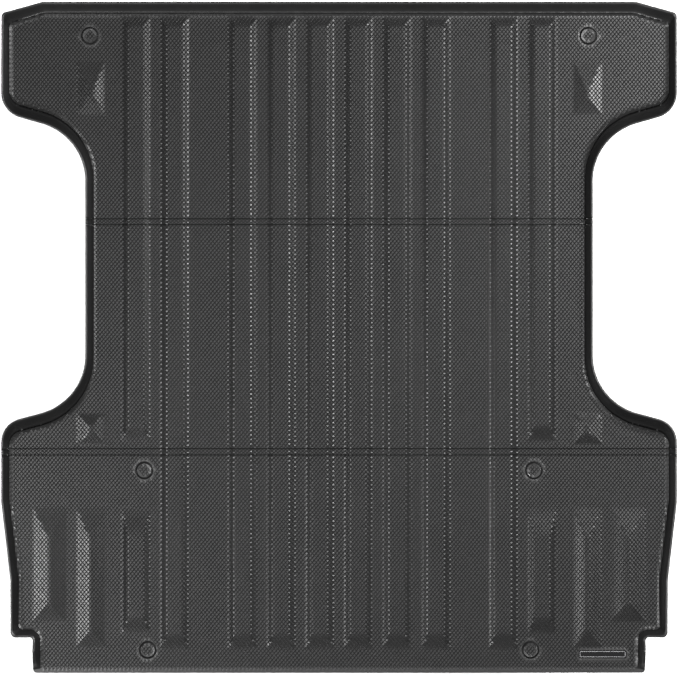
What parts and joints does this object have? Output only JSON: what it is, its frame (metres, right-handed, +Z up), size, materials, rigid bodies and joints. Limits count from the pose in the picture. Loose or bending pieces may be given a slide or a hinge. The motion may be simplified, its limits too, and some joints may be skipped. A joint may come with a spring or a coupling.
{
  "type": "truck bed liner",
  "caption": "Folding moulded-rubber bed liner with a raised lip, wheel-well cut-outs, lengthwise ridges, bolt bosses and double-groove folds.",
  "frame": {"origin": "centre of the outline, on the floor that the liner lies on", "axes": "+Y towards the cab, +X to the right-hand side of the bed, +Z up"},
  "size_m": [1.69, 1.682, 0.045],
  "materials": {
    "moulded_rubber": "dark grey thermoplastic rubber with a fine moulded pip texture, smooth on the rim",
    "hinge_rubber": "thin smooth dark grey rubber",
    "badge": "plain black plastic plate, satin",
    "badge_line": "plain light grey inlaid line"
  },
  "bodies": {
    "middle": {"middle_panel": "moulded_rubber"},
    "front_strip": {"front_fold_strip": "moulded_rubber", "front_fold_web_inner": "hinge_rubber", "front_fold_web_outer": "hinge_rubber"},
    "front": {"front_panel": "moulded_rubber"},
    "rear_strip": {"rear_fold_strip": "moulded_rubber", "rear_fold_web_inner": "hinge_rubber", "rear_fold_web_outer": "hinge_rubber"},
    "rear": {"rear_panel": "moulded_rubber", "badge_plate": "badge", "badge_inlay": "badge_line"}
  },
  "joints": [
    {"name": "front_strip_fold", "type": "hinge", "parent": "middle", "child": "front_strip", "pos_m": [0, 0.283, 0], "axis": [-1, 0, 0], "range_deg": [0, 90], "deforming": ["front_fold_web_inner"]},
    {"name": "front_panel_fold", "type": "hinge", "parent": "front_strip", "child": "front", "pos_m": [0, 0.298, 0], "axis": [-1, 0, 0], "range_deg": [0, 90], "deforming": ["front_fold_web_outer"]},
    {"name": "rear_strip_fold", "type": "hinge", "parent": "middle", "child": "rear_strip", "pos_m": [0, -0.2785, 0], "axis": [1, 0, 0], "range_deg": [0, 45], "deforming": ["rear_fold_web_inner"]},
    {"name": "rear_panel_fold", "type": "hinge", "parent": "rear_strip", "child": "rear", "pos_m": [0, -0.2945, 0], "axis": [1, 0, 0], "range_deg": [0, 45], "deforming": ["rear_fold_web_outer"]}
  ]
}
